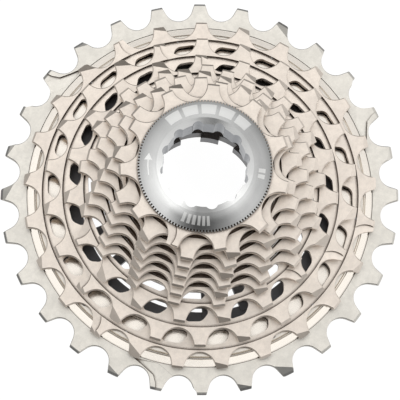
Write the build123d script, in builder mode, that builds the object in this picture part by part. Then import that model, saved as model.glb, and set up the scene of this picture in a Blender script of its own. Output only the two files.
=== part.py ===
"""Eleven-speed road cassette, 11-28 teeth: toothed rings cut as a hollow dome,
a separate aluminium large sprocket on a splined carrier, and a screwed lockring.

Millimetres.  Origin on the axis, on the rearmost plane.  +Z runs along the axis
toward the lockring, +Y is up.  Clock angles are measured from +Y toward +X.
"""
import os
from math import pi, sin

from build123d import *

os.makedirs("parts", exist_ok=True)

# ---------------------------------------------------------------- dimensions
CHAIN_PITCH = 12.7
SPACING = 3.74            # sprocket to sprocket along the axis
FIRST_Z = 0.9             # middle of the 28-tooth sprocket
PLATE = 1.6               # thickness of every dome sprocket

# clock angle of one tooth of each sprocket: the shift timing of the set
TIMING = {28: 183.2, 25: 178.0, 22: 187.3, 19: 179.8, 17: 183.8, 16: 183.6,
          15: 183.5, 14: 183.1, 13: 182.6, 12: 181.7, 11: 192.9}
SIZES = sorted(TIMING, reverse=True)

# dome sprocket teeth
SEAT_R = 4.5              # roller seat radius
SEAT_OUT = 0.12           # seat centre outside the pitch circle
TIP_OUT = 0.35            # tooth tip outside the pitch circle
EDGE_BEVEL = 0.25         # bevel round the toothed edge
FLANK_IN = 1.7            # where the straight flanks leave the seat arc
TIP_BEVEL = 0.6
TIP_BEVEL_WIDE = 1.25     # every second tooth, turned toward one flank
BEFORE_BEVEL = 2.0        # the tooth before a shift ramp

# walls of the hollow dome, measured inward from the root circle they carry
WALL_OUT = 0.4
WALL_IN = 1.6
WEB_DROP = 1.0            # the web is this much thicker than the plate, at the back
RECESS = 0.9              # conical recess in the face round the next sprocket
# height of the openings and of the recess above the root circle they stand on, and how
# far the slanted edge of an opening lies past the middle of the gap, inside and outside
WINDOWS = {25: (3.8, 5.43, 3.0, 1.5), 22: (3.63, 5.38, 3.1, 0.1), 19: (1.8, 3.28, 3.4, 1.4)}
POCKET_OUT = 1.0          # blind slots of the smaller sprockets, past the root circle
POCKET_DEPTH = 1.9
POCKET_OUT_12T = 0.65
POCKET_DEPTH_12T = 0.8

# large sprocket
BIG_T = 1.8
BIG_SEAT_R = 4.2
BIG_SEAT_OUT = 0.25
BIG_TIP_OUT = 1.2
BIG_FLAT_R = 50.3         # inner edge of the flat toothed face
BIG_LAND_R = 47.2         # outer edge of the land the dome sits on
BIG_LAND_IN = 45.2
BIG_FLANGE_R = 40.1       # inner edge of the riveted flange
CHANNEL_DEPTH = 0.6       # shift channels from a tooth tip to the cone

# splined carrier
SPLINE_R = 17.4           # bottom of the spline grooves
SPLINE_TIP_R = 16.0
SPLINE_W = 5.3
SPLINE_WIDE = 7.4
SPLINES = 9
HUB_R = 23.2
HUB_T = 5.2
RIM_T = 2.0
RIM_IN = 34.5
RIM_OUT = 39.9
LIP_T = 0.9               # thin lip under the flange of the large sprocket
LIP_R = 47.4
ARM_PAIRS = 5
ARM_W = 3.2
ARM_SPREAD = 9.0          # half the angle between the arms of a pair
ARM_CLOCK = 158.0
RIVETS = 10
RIVET_R = 0.8
RIVET_HEAD_R = 1.15
PINS = 10
PIN_R = 0.45
RIVET_PCR = 46.1          # rivets and pins alternate round the land
PIN_PCR = 45.75

# lockring and washer
LOCK_R = 17.9
LOCK_RIM = 0.8
LOCK_RISE = 0.9
LOCK_TOP_R = 12.9
LOCK_LOBE_R = 12.0
LOCK_LAND_R = 11.2
LOCK_LOBES = 12
LOCK_NOTCHES = 132
THREAD_R = 15.3
THREAD_PITCH = 1.058
THREAD_DEPTH = 0.5
THREAD_TURNS = 6
WASHER_T = 0.5
WASHER_R = 17.3
WASHER_IN = 15.6


# ---------------------------------------------------------------- helpers
def pitch_radius(n):
    return CHAIN_PITCH / 2 / sin(pi / n)


def middle_z(n):
    return FIRST_Z + SPACING * SIZES.index(n)


def front_z(n):
    return middle_z(n) + PLATE / 2


def back_z(n):
    return middle_z(n) - PLATE / 2


def root_radius(n):
    return pitch_radius(n) + SEAT_OUT - SEAT_R


def smaller(n):
    return SIZES[SIZES.index(n) + 1]


def tooth_angle(n, i=0):
    """Angle from +X of tooth i, counted clockwise from the timing tooth."""
    return 90 - TIMING[n] - i * 360 / n


def gap_angle(n, i=0):
    """Angle of the gap on the clockwise side of tooth i."""
    return tooth_angle(n, i) - 180 / n


def ring(z, height, outer, inner, mode=Mode.ADD):
    """Plain flat ring from z upward."""
    with BuildSketch(Plane.XY.offset(z)) as profile:
        Circle(outer)
        Circle(inner, mode=Mode.SUBTRACT)
    extrude(profile.sketch, amount=height, mode=mode)


def toothed_plate(n, z, height, inner, seat_r, seat_out, tip_out):
    """Toothed ring: round roller seats with straight flanks tangent to them."""
    r = pitch_radius(n)
    half = (seat_r ** 2 - FLANK_IN ** 2) ** 0.5
    reach = tip_out + 1.0
    mouth = half + (reach + FLANK_IN) * FLANK_IN / half
    with BuildSketch(Plane.XY.offset(z)) as profile:
        Circle(r + tip_out)
        with PolarLocations(r + seat_out, n, start_angle=gap_angle(n)):
            Circle(seat_r, mode=Mode.SUBTRACT)
            Polygon((-FLANK_IN, -half), (reach, -mouth), (reach, mouth), (-FLANK_IN, half),
                    align=None, mode=Mode.SUBTRACT)
        Circle(inner, mode=Mode.SUBTRACT)
    extrude(profile.sketch, amount=height)


def bevel_toothed_edge(builder, size):
    """Bevel the front edge of the toothed outline."""
    top = builder.faces().sort_by(Axis.Z)[-1]
    chamfer(top.outer_wire().edges(), size)


def spline_grooves(z, height, groove_r, tip_r):
    """Splined bore: a plain hole at the tip radius with nine wide grooves."""
    half_pitch = 180 / SPLINES
    with BuildSketch(Plane.XY.offset(z)) as profile:
        Circle(groove_r)
        with PolarLocations(tip_r + 1, SPLINES, start_angle=90):
            Rectangle(4, SPLINE_W, mode=Mode.SUBTRACT)
        with PolarLocations(tip_r + 1, 1, start_angle=90 - 2 * half_pitch):
            Rectangle(4, SPLINE_WIDE, mode=Mode.SUBTRACT)
        Circle(tip_r)
    extrude(profile.sketch, amount=height, mode=Mode.SUBTRACT)


def tip_bevels(n, teeth, tip_r, z_face, size, slope, lean=0):
    """Bevel the front of these tooth tips; lean turns the bevel toward one flank."""
    tilt = Rotation(0, 0, lean) * Rotation(0, slope, 0)
    places = []
    for i in teeth:
        turn = Rotation(0, 0, tooth_angle(n, i))
        places.append(turn * Pos(tip_r - size, 0, z_face) * tilt)
    with Locations(*places):
        Box(10, 9, 2.5, align=(Align.CENTER, Align.CENTER, Align.MIN), mode=Mode.SUBTRACT)


def conical_recess(outer, inner, z_outer, z_inner):
    """Recess in a front face, deeper at its outer edge."""
    with BuildSketch(Plane.XZ) as profile:
        Polygon((outer, z_outer), (outer, z_inner + 2), (inner, z_inner + 2), (inner, z_inner),
                align=None)
    revolve(profile.sketch, axis=Axis.Z, mode=Mode.SUBTRACT)


def shift_ramp(n, i, z_face, radius, slope):
    """Shallow tilted round pocket on the clockwise side of tooth i."""
    r = pitch_radius(n) - 1.2
    turn = Rotation(0, 0, tooth_angle(n, i) - 150 / n)
    with Locations(turn * Pos(r, 0, z_face) * Rotation(slope, 0, 0)):
        Cylinder(radius, 3, align=(Align.CENTER, Align.CENTER, Align.MIN), mode=Mode.SUBTRACT)


def ramp_teeth(n):
    """The three teeth that carry a shift ramp."""
    k = SIZES.index(n)
    first = round((207 + 7 * k - TIMING[n]) * n / 360)
    return [first, first + round(n / 3), first + round(2 * n / 3)]


def gap_windows(n, outer, reach_in, reach_out):
    """Openings under the gaps of the next sprocket, each ending in a slanted edge.

    The edge lies reach_in past the middle of the gap at its inner end and reach_out
    past it at its outer end, with a large round corner between the edge and the outer
    side; the other end is hidden under the next tooth."""
    m = smaller(n)
    inner = root_radius(m) - 0.15
    low = back_z(n) - WEB_DROP - 0.1
    with BuildPart(mode=Mode.PRIVATE) as cutter:
        with BuildSketch(Plane.XY.offset(low)) as profile:
            Polygon((inner, -4.3), (outer, -4.7), (outer, reach_out), (inner, reach_in),
                    align=None)
            by_side = profile.vertices().sort_by(Axis.Y)
            fillet(by_side[:2] + by_side[3:], min(1.2, (outer - inner) * 0.35))
            far_corner = profile.vertices().sort_by_distance((outer, reach_out, 0))[0]
            fillet(far_corner, (outer - inner) * 0.6)
        extrude(amount=front_z(n) + 0.1 - low)
    with PolarLocations(0, m, start_angle=gap_angle(m)):
        add(cutter.part, mode=Mode.SUBTRACT)


def gap_pockets(n, outer, depth):
    """Blind slots in the face of sprocket n along the roots of the next sprocket."""
    m = smaller(n)
    inner = root_radius(m) - 0.3
    with BuildSketch(Plane.XY.offset(front_z(n) - depth)) as profile:
        with PolarLocations((inner + outer) / 2, m, start_angle=gap_angle(m)):
            RectangleRounded(outer - inner, 2 * SEAT_R - 1, 0.4)
    extrude(profile.sketch, amount=depth + 0.1, mode=Mode.SUBTRACT)


def shift_channel(i):
    """Channel across a large-sprocket tooth, deepest along its curved clockwise edge."""
    low = BIG_T - CHANNEL_DEPTH
    with BuildPart(mode=Mode.PRIVATE) as cutter:
        with BuildSketch(Plane.XY.offset(low)):
            Polygon((59, 0.2), (56, -0.5), (54, -1.6), (52.3, -4.5), (50.4, -8.2),
                    (50.4, -1), (53.5, 5), (59, 6), align=None)
        extrude(amount=2)
        with Locations(Pos(54, -1.6, low) * Rotation(0, 0, 150) * Rotation(0, -8, 0)):
            Box(40, 40, 6, align=(Align.CENTER, Align.CENTER, Align.MIN), mode=Mode.INTERSECT)
    with Locations(Rotation(0, 0, tooth_angle(28, i))):
        add(cutter.part, mode=Mode.SUBTRACT)


# ---------------------------------------------------------------- large sprocket
def make_sprocket_28t():
    n = 28
    tip = pitch_radius(n) + BIG_TIP_OUT
    with BuildPart() as sprocket:
        toothed_plate(n, 0, BIG_T, BIG_LAND_IN, BIG_SEAT_R, BIG_SEAT_OUT, BIG_TIP_OUT)
        bevel_toothed_edge(sprocket, 0.2)
        land_z = back_z(25)
        with BuildSketch(Plane.XZ):
            Polygon((BIG_LAND_IN, 1.0), (BIG_FLAT_R - 0.2, 1.0), (BIG_FLAT_R - 0.2, 1.7),
                    (48.1, 2.6), (47.95, 2.45), (47.6, 2.75), (BIG_LAND_R, land_z),
                    (BIG_LAND_IN, land_z), align=None)
        revolve(axis=Axis.Z)
        # thin groove where the cone meets the flat face
        ring(BIG_T - 0.35, 1.0, BIG_FLAT_R, BIG_FLAT_R - 0.2, mode=Mode.SUBTRACT)
        # flange seen through the windows, and the seat for the lip of the carrier
        ring(LIP_T, BIG_T - LIP_T, BIG_LAND_IN + 0.1, BIG_FLANGE_R)
        ring(-0.1, LIP_T + 0.1, LIP_R, BIG_FLANGE_R - 1, mode=Mode.SUBTRACT)
        with PolarLocations(RIVET_PCR, RIVETS, start_angle=90):
            Cylinder(RIVET_R, 10, mode=Mode.SUBTRACT)
        with BuildSketch(Plane.XY.offset(land_z - 1.6)):
            with PolarLocations(PIN_PCR, PINS, start_angle=90 + 180 / PINS):
                Circle(PIN_R)
        extrude(amount=2, mode=Mode.SUBTRACT)
        for i in (0, 9, 18):
            shift_channel(i)
        # one slim tooth before each channel
        with BuildSketch():
            for i in (-1, 8, 17):
                with Locations(Rotation(0, 0, tooth_angle(n, i))):
                    Polygon((59, -0.9), (57, -1.2), (54.6, -3.2), (56, -5), (59, -4),
                            align=None)
        extrude(amount=4, mode=Mode.SUBTRACT)
        wide = (25, 6, 15)
        leaning = (26, 7, 16, 1, 10, 19)
        slim = (27, 8, 17)
        plain = [i for i in range(n) if i not in wide + leaning + slim]
        tip_bevels(n, wide, tip, BIG_T, 2.4, 34, -28)
        tip_bevels(n, leaning, tip, BIG_T, 1.3, 45, -22)
        tip_bevels(n, slim, tip, BIG_T, 0.3, 45)
        tip_bevels(n, plain, tip, BIG_T, 0.6, 48)
    sprocket.part.label = "sprocket_28t"
    export_step(sprocket.part, "parts/sprocket_28t.step")


# ---------------------------------------------------------------- splined carrier
def make_spline_carrier():
    with BuildPart() as carrier:
        ring(0, HUB_T, HUB_R, SPLINE_TIP_R - 1)
        ring(0, RIM_T, RIM_OUT, RIM_IN)
        ring(0, LIP_T, LIP_R, RIM_OUT - 0.5)
        with BuildSketch():
            for pair in range(ARM_PAIRS):
                middle = 90 - ARM_CLOCK - pair * 360 / ARM_PAIRS
                for side in (-ARM_SPREAD, ARM_SPREAD):
                    with Locations(Rotation(0, 0, middle + side) * Pos((HUB_R + RIM_IN) / 2, 0)):
                        Rectangle(RIM_IN - HUB_R + 3, ARM_W)
        extrude(amount=RIM_T + 0.4)
        with PolarLocations((HUB_R + SPLINE_R) / 2 + 0.6, SPLINES, start_angle=90):
            Cylinder(1.1, 4 * HUB_T, mode=Mode.SUBTRACT)
        spline_grooves(0, HUB_T, SPLINE_R, SPLINE_TIP_R)
        with PolarLocations(RIVET_PCR, RIVETS, start_angle=90):
            Cylinder(RIVET_R, 10, mode=Mode.SUBTRACT)
            Cone(RIVET_HEAD_R, RIVET_R, RIVET_HEAD_R - RIVET_R,
                 align=(Align.CENTER, Align.CENTER, Align.MIN), mode=Mode.SUBTRACT)
    carrier.part.label = "spline_carrier"
    export_step(carrier.part, "parts/spline_carrier.step")


def make_carrier_rivets():
    """Countersunk at the back, peened flush with the land in front."""
    with BuildPart() as rivets:
        with PolarLocations(RIVET_PCR, RIVETS, start_angle=90):
            Cylinder(RIVET_R, back_z(25), align=(Align.CENTER, Align.CENTER, Align.MIN))
            Cone(RIVET_HEAD_R, RIVET_R, RIVET_HEAD_R - RIVET_R,
                 align=(Align.CENTER, Align.CENTER, Align.MIN))
    rivets.part.label = "carrier_rivets"
    export_step(rivets.part, "parts/carrier_rivets.step")


def make_dome_pins():
    """Blind pins that carry the drive from the dome to the large sprocket."""
    with BuildPart() as pins:
        with BuildSketch(Plane.XY.offset(back_z(25) - 1.5)):
            with PolarLocations(PIN_PCR, PINS, start_angle=90 + 180 / PINS):
                Circle(PIN_R)
        extrude(amount=2.5)
    pins.part.label = "dome_pins"
    export_step(pins.part, "parts/dome_pins.step")


# ---------------------------------------------------------------- dome sprockets
def make_dome_sprocket(n):
    """Toothed plate with a thicker pierced web and the wall that carries the next one."""
    m = smaller(n)
    wall_out = root_radius(m) - WALL_OUT
    wall_in = root_radius(m) - WALL_IN
    bore = SPLINE_TIP_R - 0.5 if n == 12 else wall_in
    tip = pitch_radius(n) + TIP_OUT
    with BuildPart() as sprocket:
        toothed_plate(n, back_z(n), PLATE, bore, SEAT_R, SEAT_OUT, TIP_OUT)
        bevel_toothed_edge(sprocket, EDGE_BEVEL)
        ring(back_z(n) - WEB_DROP, WEB_DROP, root_radius(n) - WALL_IN - 0.1, bore)
        if n in WINDOWS:
            height, step_out, reach_in, reach_out = WINDOWS[n]
            conical_recess(root_radius(m) + step_out, wall_out, front_z(n) - RECESS,
                           front_z(n) - RECESS * 0.3)
            gap_windows(n, root_radius(m) + height, reach_in, reach_out)
        elif n == 12:
            gap_pockets(n, root_radius(m) + POCKET_OUT_12T, POCKET_DEPTH_12T)
        else:
            gap_pockets(n, root_radius(m) + POCKET_OUT, POCKET_DEPTH)
        if n != 12:
            ring(front_z(n) - 0.1, back_z(m) - front_z(n) + 0.1, wall_out, wall_in)
        ramps = ramp_teeth(n) if n > 17 else []
        for i in ramps:
            shift_ramp(n, i, front_z(n), 5.2, -6)
        before = [i - 1 for i in ramps]
        others = [i for i in range(n) if i - n not in before and i not in before]
        if before:
            tip_bevels(n, before, tip, front_z(n), BEFORE_BEVEL, 36, -28)
        tip_bevels(n, others[0::2], tip, front_z(n), TIP_BEVEL, 45)
        tip_bevels(n, others[1::2], tip, front_z(n), TIP_BEVEL_WIDE, 40, -20)
        if n == 25:
            with BuildSketch(Plane.XY.offset(back_z(n) - 0.1)):
                with PolarLocations(PIN_PCR, PINS, start_angle=90 + 180 / PINS):
                    Circle(PIN_R)
            extrude(amount=1.1, mode=Mode.SUBTRACT)
        if n == 12:
            spline_grooves(back_z(n) - WEB_DROP, PLATE + WEB_DROP, SPLINE_R, SPLINE_TIP_R)
    name = "sprocket_%dt" % n
    sprocket.part.label = name
    export_step(sprocket.part, "parts/%s.step" % name)


def make_sprocket_11t():
    """Separate splined smallest sprocket with a spacing boss behind it."""
    n = 11
    with BuildPart() as sprocket:
        toothed_plate(n, back_z(n), PLATE, 15, SEAT_R + 0.2, SEAT_OUT + 0.2, TIP_OUT)
        bevel_toothed_edge(sprocket, EDGE_BEVEL)
        boss_z = front_z(12)
        ring(boss_z, back_z(n) - boss_z, root_radius(n) - WALL_OUT, 15)
        shift_ramp(n, 0, front_z(n), 5.2, -6)
        tip_bevels(n, range(1, n), pitch_radius(n) + TIP_OUT, front_z(n), TIP_BEVEL, 45)
        spline_grooves(boss_z, front_z(n) - boss_z, SPLINE_R - 0.3, SPLINE_TIP_R)
    sprocket.part.label = "sprocket_11t"
    export_step(sprocket.part, "parts/sprocket_11t.step")


# ---------------------------------------------------------------- lockring
def make_lockring_washer():
    with BuildPart() as washer:
        ring(front_z(11), WASHER_T, WASHER_R, WASHER_IN)
    washer.part.label = "lockring_washer"
    export_step(washer.part, "parts/lockring_washer.step")


def make_lockring():
    z0 = front_z(11) + WASHER_T
    low = z0 - THREAD_PITCH * THREAD_TURNS - 1.2
    rim_z = z0 + LOCK_RIM
    crown = rim_z + LOCK_RISE
    with BuildPart() as lockring:
        with BuildSketch(Plane.XZ):
            with BuildLine():
                points = [(11, low), (THREAD_R - THREAD_DEPTH, low)]
                for turn in range(THREAD_TURNS):
                    z = low + 0.3 + turn * THREAD_PITCH
                    points += [(THREAD_R - THREAD_DEPTH, z), (THREAD_R, z + 0.35),
                               (THREAD_R, z + 0.6), (THREAD_R - THREAD_DEPTH, z + 0.95)]
                points += [(THREAD_R - THREAD_DEPTH, z0), (LOCK_R - 0.3, z0), (LOCK_R, z0 + 0.3),
                           (LOCK_R, rim_z - 0.2), (LOCK_R - 0.4, rim_z)]
                Polyline(*points)
                # convex face, level at the hole and steepest at the rim
                ThreePointArc((LOCK_R - 0.4, rim_z),
                              ((LOCK_R - 0.4 + LOCK_TOP_R) / 2, rim_z + 0.757 * LOCK_RISE),
                              (LOCK_TOP_R, crown))
                Polyline((LOCK_TOP_R, crown), (LOCK_LOBE_R + 0.35, crown - 0.2),
                         (11, crown - 0.7), (11, low))
            make_face()
        revolve(axis=Axis.Z)
        # tool socket with round lobes
        with BuildSketch(Plane.XY.offset(low)):
            Circle(LOCK_LAND_R)
            with PolarLocations(LOCK_LOBE_R - 1.7, LOCK_LOBES, start_angle=90 - 11):
                Circle(1.7)
        extrude(amount=12, mode=Mode.SUBTRACT)
        # fine notches round the rim
        with BuildSketch(Plane.XY.offset(z0 - 0.1)):
            with PolarLocations(LOCK_R, LOCK_NOTCHES):
                Rectangle(1.1, 0.45)
        extrude(amount=2, mode=Mode.SUBTRACT)
    lockring.part.label = "lockring"
    export_step(lockring.part, "parts/lockring.step")


make_sprocket_28t()
make_spline_carrier()
make_carrier_rivets()
make_dome_pins()
for size in SIZES[1:-1]:
    make_dome_sprocket(size)
make_sprocket_11t()
make_lockring_washer()
make_lockring()
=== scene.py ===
from math import cos, degrees, radians, sin

import bpy
from mathutils import Matrix, Vector

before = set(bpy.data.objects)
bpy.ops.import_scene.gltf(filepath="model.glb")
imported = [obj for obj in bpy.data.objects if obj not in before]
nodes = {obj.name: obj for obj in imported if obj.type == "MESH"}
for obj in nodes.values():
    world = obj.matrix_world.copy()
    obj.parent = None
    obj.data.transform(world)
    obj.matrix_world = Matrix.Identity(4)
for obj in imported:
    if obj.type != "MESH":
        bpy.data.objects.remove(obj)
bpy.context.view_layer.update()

DOME = ["sprocket_%dt" % teeth for teeth in (25, 22, 19, 17, 16, 15, 14, 13, 12, 11)]

# All lengths are metres.
# Large sprocket: the tip band of painted shade, the lathe-turned middle and the flange inside it.
TIPS_R = 0.0571
CONE_R = 0.0502
LAND_R = 0.0452
TURNED_Z = (0.0012, 0.0014)     # the turned faces start in this band of height

# Lockring: the cone, the notched rim and the face that carries the marks.
CONE_FADE_R = (0.0135, 0.017)   # the painted shine fades toward the rim over this band
RIM_R = (0.0166, 0.0171)
MARK_Z = (0.0398, 0.0401)
ARROW_R = 0.0151

# Noise scales per metre: clouds in the finish, blotches, fine grain.
CLOUD = 190
BLOTCH = 700
GRAIN = 2600

# How far around a point the shade of gaps and of tight corners is felt, and how wide a
# worn edge is.
GAP_REACH = 0.0035
SOCKET_REACH = 0.004
CORNER_REACH = 0.0012
EDGE_REACH = 0.00011


# ------------------------------------------------------------------ node helpers
def rgb(r, g, b):
    return (r, g, b, 1.0)


def shade(color, factor=1.0):
    """The colour made darker or lighter, never above white."""
    return rgb(*[min(1.0, c * factor) for c in color])


class Graph:
    """Small wrapper that keeps a node graph readable."""

    def __init__(self, owner):
        owner.use_nodes = True
        self.tree = owner.node_tree
        self.tree.nodes.clear()
        self.place = self.node("ShaderNodeTexCoord")

    def node(self, kind, **props):
        n = self.tree.nodes.new(kind)
        for key, value in props.items():
            setattr(n, key, value)
        return n

    def link(self, a, b):
        self.tree.links.new(a, b)

    def put(self, socket, value):
        """Link a socket to the input, or set a plain value on it."""
        if hasattr(value, "is_output"):
            self.link(value, socket)
        else:
            socket.default_value = value

    def math(self, op, a, b=0.0, clamp=False):
        n = self.node("ShaderNodeMath", operation=op, use_clamp=clamp)
        self.put(n.inputs[0], a)
        self.put(n.inputs[1], b)
        return n.outputs[0]

    def times(self, a, b):
        return self.math("MULTIPLY", a, b)

    def minus(self, a, b):
        return self.math("SUBTRACT", a, b)

    def larger(self, a, b):
        return self.math("MAXIMUM", a, b)

    def split(self, vector):
        n = self.node("ShaderNodeSeparateXYZ")
        self.link(vector, n.inputs[0])
        return n.outputs

    def span(self, value, lo, hi, to_lo, to_hi):
        """Map lo..hi to to_lo..to_hi, held at both ends."""
        n = self.node("ShaderNodeMapRange")
        n.clamp = True
        for i, v in enumerate((value, lo, hi, to_lo, to_hi)):
            self.put(n.inputs[i], v)
        return n.outputs[0]

    def between(self, value, lo, hi, soft):
        """1 between lo and hi, 0 outside, each border softened by soft to both sides."""
        return self.times(self.span(value, lo - soft, lo + soft, 0.0, 1.0),
                          self.span(value, hi - soft, hi + soft, 1.0, 0.0))

    def mix(self, fac, a, b, blend="MIX"):
        n = self.node("ShaderNodeMix", data_type="RGBA", blend_type=blend)
        self.put(n.inputs[0], fac)
        self.put(n.inputs[6], a)
        self.put(n.inputs[7], b)
        return n.outputs[2]

    def curve(self, value, lo, hi, stops):
        """Piecewise curve of grey values over lo..hi; stops are (place, value)."""
        n = self.node("ShaderNodeValToRGB")
        self.link(self.span(value, lo, hi, 0.0, 1.0), n.inputs[0])
        marks = n.color_ramp.elements
        while len(marks) < len(stops):
            marks.new(0.5)
        for mark, (at, grey) in zip(marks, stops):
            mark.position = (at - lo) / (hi - lo)
            mark.color = rgb(grey, grey, grey)
        return n.outputs[0]


class Mat(Graph):
    """One material on a Principled shader, laid out in object coordinates."""

    def __init__(self, name):
        self.mat = bpy.data.materials.new(name)
        super().__init__(self.mat)
        self.coord = self.place.outputs["Object"]
        self.x, self.y, self.z = self.split(self.coord)
        # the normal: across runs left to right, front is 1 on front faces and 0 on walls
        self.across, _, self.front = self.split(self.place.outputs["Normal"])
        self.bsdf = self.node("ShaderNodeBsdfPrincipled")
        out = self.node("ShaderNodeOutputMaterial")
        self.link(self.bsdf.outputs[0], out.inputs["Surface"])

    def surface(self, **inputs):
        """Set Principled inputs; an underscore in a name stands for a space."""
        for key, value in inputs.items():
            self.put(self.bsdf.inputs[key.replace("_", " ")], value)

    def noise(self, scale, detail=3.0, rough=0.55, coord=None):
        n = self.node("ShaderNodeTexNoise")
        self.link(coord or self.coord, n.inputs["Vector"])
        n.inputs["Scale"].default_value = scale
        n.inputs["Detail"].default_value = detail
        n.inputs["Roughness"].default_value = rough
        return n.outputs["Fac"]

    def bump(self, height, strength, distance, normal=None):
        n = self.node("ShaderNodeBump")
        n.inputs["Strength"].default_value = strength
        n.inputs["Distance"].default_value = distance
        self.link(height, n.inputs["Height"])
        if normal is not None:
            self.link(normal, n.inputs["Normal"])
        return n.outputs[0]

    def radius(self):
        """Distance from the axis."""
        return self.math("SQRT", self.math("ADD", self.times(self.x, self.x),
                                           self.times(self.y, self.y)))

    def clock(self):
        """Clock angle about the axis, in radians from +Y toward +X."""
        return self.math("ARCTAN2", self.x, self.y)

    def walls(self, most):
        """The value most on faces that stand upright, falling to 0 on flat ones."""
        return self.span(self.math("ABSOLUTE", self.front), 0.2, 0.4, most, 0.0)

    def edges(self, radius):
        """1 on sharp outer edges, 0 on flats: how far a bevelled normal turns."""
        bev = self.node("ShaderNodeBevel", samples=4)
        bev.inputs["Radius"].default_value = radius
        geo = self.node("ShaderNodeNewGeometry")
        dot = self.node("ShaderNodeVectorMath", operation="DOT_PRODUCT")
        self.link(bev.outputs[0], dot.inputs[0])
        self.link(geo.outputs["Normal"], dot.inputs[1])
        return self.span(dot.outputs["Value"], 0.999, 0.9, 0.0, 1.0)

    def hollows(self, distance, samples=8):
        """1 in the open, falling to 0 deep inside gaps and windows."""
        ao = self.node("ShaderNodeAmbientOcclusion", samples=samples)
        ao.inputs["Distance"].default_value = distance
        return ao.outputs["AO"]


# ------------------------------------------------------------------ sprocket metals
def satin_metal(name, color, deep, wall, bevel_shade, rough, grain, bright=None):
    """Bead-blasted metal: mottled tone, fine grain, bright worn edges, and painted shade:
    machined bevels and walls darker than the blasted faces, dark gaps and corners.

    color is the blasted face, deep the painted shade in gaps, wall an open wall (dark
    partly for its machined finish, partly painted shade), cut the painted shade of a bevel.
    bright is given for the large sprocket alone: the colour of its lathe-turned middle."""
    m = Mat(name)
    cloud = m.noise(CLOUD, 5, 0.65)
    blotch = m.noise(BLOTCH, 3, 0.6)
    fine = m.noise(GRAIN, 2)
    tone = m.mix(m.span(cloud, 0.36, 0.62, 0.0, 1.0), shade(color, 0.89), shade(color))
    tone = m.mix(m.span(blotch, 0.42, 0.66, 0.0, 0.32), tone, shade(color, 0.72))
    tone = m.mix(m.span(fine, 0.3, 0.7, 0.0, 0.2), tone, shade(color, 0.66))
    # painted shade on the machined bevels: darker than the blasted faces, less so to the left,
    # least to the right
    bevel = m.between(m.front, 0.5, 0.86, 0.02)
    bevel_side_shade = m.curve(m.across, -1, 1, ((-0.5, 0.55), (-0.15, 0.85), (0.1, 0.85), (0.55, 0.15)))
    tone = m.mix(m.times(bevel, bevel_side_shade), tone, rgb(*bevel_shade))
    rough_now = m.span(cloud, 0.3, 0.7, rough - 0.05, rough + 0.06)
    space = m.hollows(GAP_REACH, 16 if bright else 8)
    gap_shade = m.span(space, 0.25, 0.66, 1.0, 0.0)
    side = m.walls(0.95)
    # painted shade in tight corners, darkest toward the lower left, where less of the light
    # reaches them
    strength = m.span(m.math("ADD", m.x, m.y), -0.04, 0.04, 0.95, 0.42)
    corner = m.times(m.span(m.hollows(CORNER_REACH), 0.5, 0.88, 1.0, 0.0), strength)
    if bright:
        r = m.radius()
        # painted shade on each tooth tip: a dark band, fainter toward the right
        tip_shade = m.times(m.span(r, TIPS_R, TIPS_R + 0.0002, 0.0, 0.8),
                       m.span(m.x, 0.025, 0.05, 1.0, 0.3))
        tone = m.mix(tip_shade, tone, rgb(*bevel_shade))
        # the turned middle is smoother and has less painted shade, its flange painted brighter
        # than its cone
        inside = m.times(m.span(r, CONE_R - 0.0001, CONE_R, 1.0, 0.0),
                         m.span(m.z, *TURNED_Z, 0.0, 1.0))
        flange = m.times(inside, m.span(r, LAND_R, LAND_R + 0.0003, 1.0, 0.0))
        tone = m.mix(inside, tone, m.mix(flange, shade(bright, 0.84), shade(bright)))
        rough_now = m.minus(rough_now, m.times(inside, 0.27))
        rest = m.minus(1.0, inside)
        # painted shadow on the flange, deepest near the window edges
        shadow = m.times(flange, m.span(space, 0.22, 0.54, 0.85, 0.0))
        gap_shade = m.larger(m.times(gap_shade, rest), shadow)
        side = m.times(side, rest)
        corner = m.times(corner, m.span(rest, 0.0, 1.0, 0.3, 1.0))
    # painted shade on walls: dark in a gap, the wall colour half way out, nearly the face's in the
    # open
    walls = m.mix(m.span(space, 0.4, 0.72, 0.0, 1.0), rgb(*deep), rgb(*wall))
    walls = m.mix(m.span(space, 0.74, 0.92, 0.0, 0.8), walls, shade(color, 0.8))
    tone = m.mix(side, tone, walls)
    # painted shade deep in gaps and windows
    tone = m.mix(gap_shade, tone, rgb(*deep))
    tone = m.mix(corner, tone, rgb(*deep))
    edge = m.edges(EDGE_REACH)
    tone = m.mix(m.times(edge, 0.3), tone, shade(color, 1.1))
    normal = m.bump(fine, grain, 0.00003)
    normal = m.bump(blotch, grain * 0.8, 0.00005, normal)
    m.surface(Base_Color=tone, Metallic=1.0, Normal=normal,
              Roughness=m.minus(rough_now, m.times(edge, 0.06)))
    return m


# ------------------------------------------------------------------ lockring
# Painted highlight and shade on the turned cone, a fan of bright and dark sectors: (clock angle,
# brightness).
FAN = ((-180, 0.18), (-165, 0.44), (-150, 0.73), (-130, 0.65), (-90, 0.43),
       (-60, 0.36), (0, 0.40), (45, 0.30), (90, 0.38), (120, 0.54),
       (135, 0.53), (150, 0.31), (165, 0.18), (180, 0.18))
# Rows of plain dashes: clock angles from and to, radii from and to, how many, and how
# much of each step is dash. The bottom row is in two halves, since the angle jumps at 180.
DASHES = ((-50, 42, 0.0139, 0.0166, 5, 0.8),
          (84, 96, 0.0142, 0.0160, 2, 0.7),
          (166, 179.9, 0.0138, 0.0163, 3, 0.62),
          (-179.9, -164, 0.0138, 0.0163, 3, 0.62))


def dashes(m, r, clock, start, end, r_lo, r_hi, count, duty):
    """1 on a row of plain dashes between two clock angles in degrees."""
    start, end = radians(start), radians(end)
    step = m.math("FRACT", m.span(clock, start, end, 0.0, float(count)))
    on = m.times(m.between(step, 0.0, duty, 0.03), m.between(clock, start, end, 0.004))
    return m.times(on, m.between(r, r_lo, r_hi, 0.00005))


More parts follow.
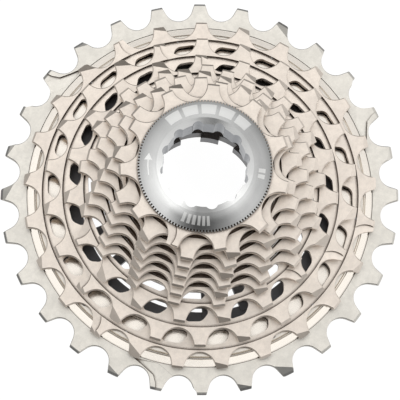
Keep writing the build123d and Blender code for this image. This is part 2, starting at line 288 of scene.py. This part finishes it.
def arrow(m, r, clock):
    """1 on a direction arrow on the left: a shaft along the rim and a pointed head."""
    shaft = m.times(m.between(clock, radians(-110), radians(-93), 0.004),
                    m.between(r, ARROW_R - 0.00015, ARROW_R + 0.00015, 0.00004))
    width = m.times(m.minus(radians(-87.5), clock), 0.0085)
    off = m.math("ABSOLUTE", m.minus(r, ARROW_R))
    head = m.times(m.span(m.minus(width, off), -0.00004, 0.00004, 0.0, 1.0),
                   m.between(clock, radians(-94.5), radians(-87.4), 0.003))
    return m.larger(shaft, head)


def lockring_metal():
    """Lathe-turned satin metal with fine turning lines, a painted fan of shine, painted shade in
    the socket and notches, and pale marks.
    """
    m = Mat("lockring_satin")
    r, clock = m.radius(), m.clock()
    # turning lines: noise that is fine along the radius and stretched along the clock
    lathe = m.node("ShaderNodeCombineXYZ")
    m.link(m.times(r, 9000.0), lathe.inputs[0])
    m.link(m.times(clock, 0.6), lathe.inputs[1])
    lines = m.noise(1.0, 3.0, 0.5, lathe.outputs[0])
    cloud = m.noise(200, 3)
    # painted highlight and shade: the fan by clock angle, darker toward the rim
    fan = m.curve(m.times(clock, degrees(1)), -180, 180, FAN)
    fan = m.math("MULTIPLY", fan, m.span(r, *CONE_FADE_R, 1.5, 0.8), clamp=True)
    tone = m.mix(m.span(cloud, 0.3, 0.7, 0.0, 1.0), rgb(0.93, 0.935, 0.92), rgb(1.0, 1.0, 0.985))
    tone = m.mix(m.span(lines, 0.3, 0.7, 0.0, 0.2), tone, rgb(0.7, 0.71, 0.73))
    tone = m.mix(1.0, tone, fan, "MULTIPLY")
    # painted shade: the walls of the tool socket are darker than the cone, the notches of the rim
    # darkest, the deep socket dark as well
    side = m.walls(1.0)
    tone = m.mix(side, tone, rgb(0.10, 0.11, 0.125))
    tone = m.mix(m.times(side, m.span(r, *RIM_R, 0.0, 1.0)), tone, rgb(0.03, 0.03, 0.03))
    tone = m.mix(m.span(m.hollows(SOCKET_REACH), 0.05, 0.6, 0.0, 1.0),
                 rgb(0.05, 0.055, 0.06), tone)
    marks = 0.0
    for row in DASHES:
        marks = m.larger(marks, dashes(m, r, clock, *row))
    marks = m.larger(m.times(marks, 0.42), m.times(arrow(m, r, clock), 0.7))
    marks = m.times(marks, m.span(m.z, *MARK_Z, 0.0, 1.0))
    tone = m.mix(marks, tone, rgb(0.93, 0.93, 0.91))
    rough = m.span(cloud, 0.3, 0.7, 0.2, 0.26)
    normal = m.bump(lines, 0.25, 0.00002)
    normal = m.bump(m.noise(3000, 2), 0.15, 0.00002, normal)
    m.surface(Base_Color=tone, Metallic=1.0, Normal=normal,
              Roughness=m.math("ADD", rough, m.times(marks, 0.3)))
    return m


# ------------------------------------------------------------------ materials
def assign(material, *names):
    for name in names:
        slots = nodes[name].data.materials
        slots.clear()
        slots.append(material.mat)


dome = satin_metal("dome_nickel", (0.91, 0.82, 0.73), deep=(0.06, 0.034, 0.019),
                   wall=(0.24, 0.175, 0.125), bevel_shade=(0.185, 0.16, 0.135),
                   rough=0.38, grain=0.35)
big = satin_metal("large_sprocket_satin", (0.86, 0.825, 0.755), deep=(0.10, 0.07, 0.05),
                  wall=(0.24, 0.21, 0.175), bevel_shade=(0.125, 0.125, 0.122),
                  rough=0.42, grain=0.35, bright=(0.92, 0.86, 0.78))
dark = satin_metal("carrier_slate", (0.13, 0.132, 0.14), deep=(0.055, 0.047, 0.041),
                   wall=(0.105, 0.103, 0.105), bevel_shade=(0.05, 0.05, 0.052),
                   rough=0.42, grain=0.3)
steel = satin_metal("ground_steel", (0.62, 0.61, 0.60), deep=(0.05, 0.045, 0.04),
                    wall=(0.4, 0.39, 0.38), bevel_shade=(0.3, 0.3, 0.3),
                    rough=0.3, grain=0.2)
assign(big, "sprocket_28t")
assign(dome, *DOME)
assign(dark, "spline_carrier")
assign(steel, "carrier_rivets", "dome_pins", "lockring_washer")
assign(lockring_metal(), "lockring")

# ------------------------------------------------------------------ floor
# A white floor that glows, a painted pool of light: even under the object, falling off around it.
FLOOR_Z = -0.0005
POOL_R = (0.09, 0.2)
bpy.ops.mesh.primitive_plane_add(size=6.0, location=(0, 0, FLOOR_Z))
floor = bpy.context.object
floor.name = "floor"
floor_glow = Mat("floor_glow_pool")
fibre = floor_glow.noise(40, 3)
white = floor_glow.mix(floor_glow.span(fibre, 0.4, 0.6, 0.0, 1.0), rgb(0.985, 0.985, 0.985), rgb(1, 1, 1))
floor_glow.surface(Base_Color=rgb(0.05, 0.05, 0.05), Roughness=0.9, Emission_Color=white,
              Emission_Strength=floor_glow.span(floor_glow.radius(), *POOL_R, 1.0, 0.45))
floor.data.materials.append(floor_glow.mat)

# ------------------------------------------------------------------ light
world = bpy.data.worlds.new("studio")
bpy.context.scene.world = world
sky = Graph(world)
x, y, z = sky.split(sky.place.outputs["Generated"])
# a dim horizon under a bright ring of light
ring = sky.curve(z, 0, 1, ((0, 0.32), (0.25, 0.4), (0.42, 1.0), (0.6, 1.3), (0.85, 1.3), (1, 1.0)))
# overhead the light falls off to the right, with a dark gap toward the front
high = sky.span(z, 0.84, 0.94, 0.0, 1.0)
overhead = sky.span(x, -0.5, 0.5, 1.2, 0.8)
gap = sky.times(sky.between(x, -0.17, 0.17, 0.09), sky.between(y, -0.62, -0.1, 0.08))
# low on the right the light is an even mid grey
horizon_right = sky.times(sky.span(x, 0.45, 0.8, 0.0, 1.0), sky.span(z, 0.3, 0.5, 1.0, 0.0))
light = sky.mix(high, ring, overhead)
light = sky.mix(horizon_right, light, rgb(0.62, 0.62, 0.62))
light = sky.mix(sky.times(gap, 0.85), light, rgb(0.06, 0.06, 0.06))
backdrop = sky.node("ShaderNodeBackground")
sky.link(light, backdrop.inputs[0])
sky.link(backdrop.outputs[0], sky.node("ShaderNodeOutputWorld").inputs[0])


def softbox(name, location, size, power):
    """A rectangular lamp that faces the object."""
    data = bpy.data.lights.new(name, "AREA")
    data.shape = "RECTANGLE"
    data.size, data.size_y = size
    data.energy = power
    lamp = bpy.data.objects.new(name, data)
    bpy.context.scene.collection.objects.link(lamp)
    lamp.location = location
    lamp.rotation_euler = (-Vector(location)).to_track_quat("-Z", "Y").to_euler()


softbox("soft_right", (1.1, 0.1, 0.25), size=(0.9, 0.6), power=1.0)
softbox("soft_left", (-1.1, 0.0, 0.35), size=(0.8, 0.5), power=0.9)

# ------------------------------------------------------------------ camera
# Fitted to the circles of the sprockets in the photograph.
TILT = radians(11.24)       # from straight above toward -Y
ROLL = radians(9.67)
DISTANCE = 0.4175
MOVE_RIGHT = -0.00003
MOVE_UP = -0.00138
FOCAL_PX = 1431.0
PHOTO_PX = 400
SENSOR_MM = 36.0
back = Vector((0, -sin(TILT), cos(TILT)))
level_up = Vector((0, cos(TILT), sin(TILT)))
level_right = Vector((1, 0, 0))
up = cos(ROLL) * level_up - sin(ROLL) * level_right
right = sin(ROLL) * level_up + cos(ROLL) * level_right
lens = bpy.data.cameras.new("camera")
lens.sensor_width = SENSOR_MM
lens.lens = FOCAL_PX / PHOTO_PX * SENSOR_MM
lens.clip_start = 0.01
camera = bpy.data.objects.new("camera", lens)
bpy.context.scene.collection.objects.link(camera)
stand = Matrix((right, up, back)).transposed().to_4x4()
stand.translation = right * MOVE_RIGHT + up * MOVE_UP + back * DISTANCE
camera.matrix_world = stand
bpy.context.scene.camera = camera
bpy.context.scene.view_settings.view_transform = "Standard"
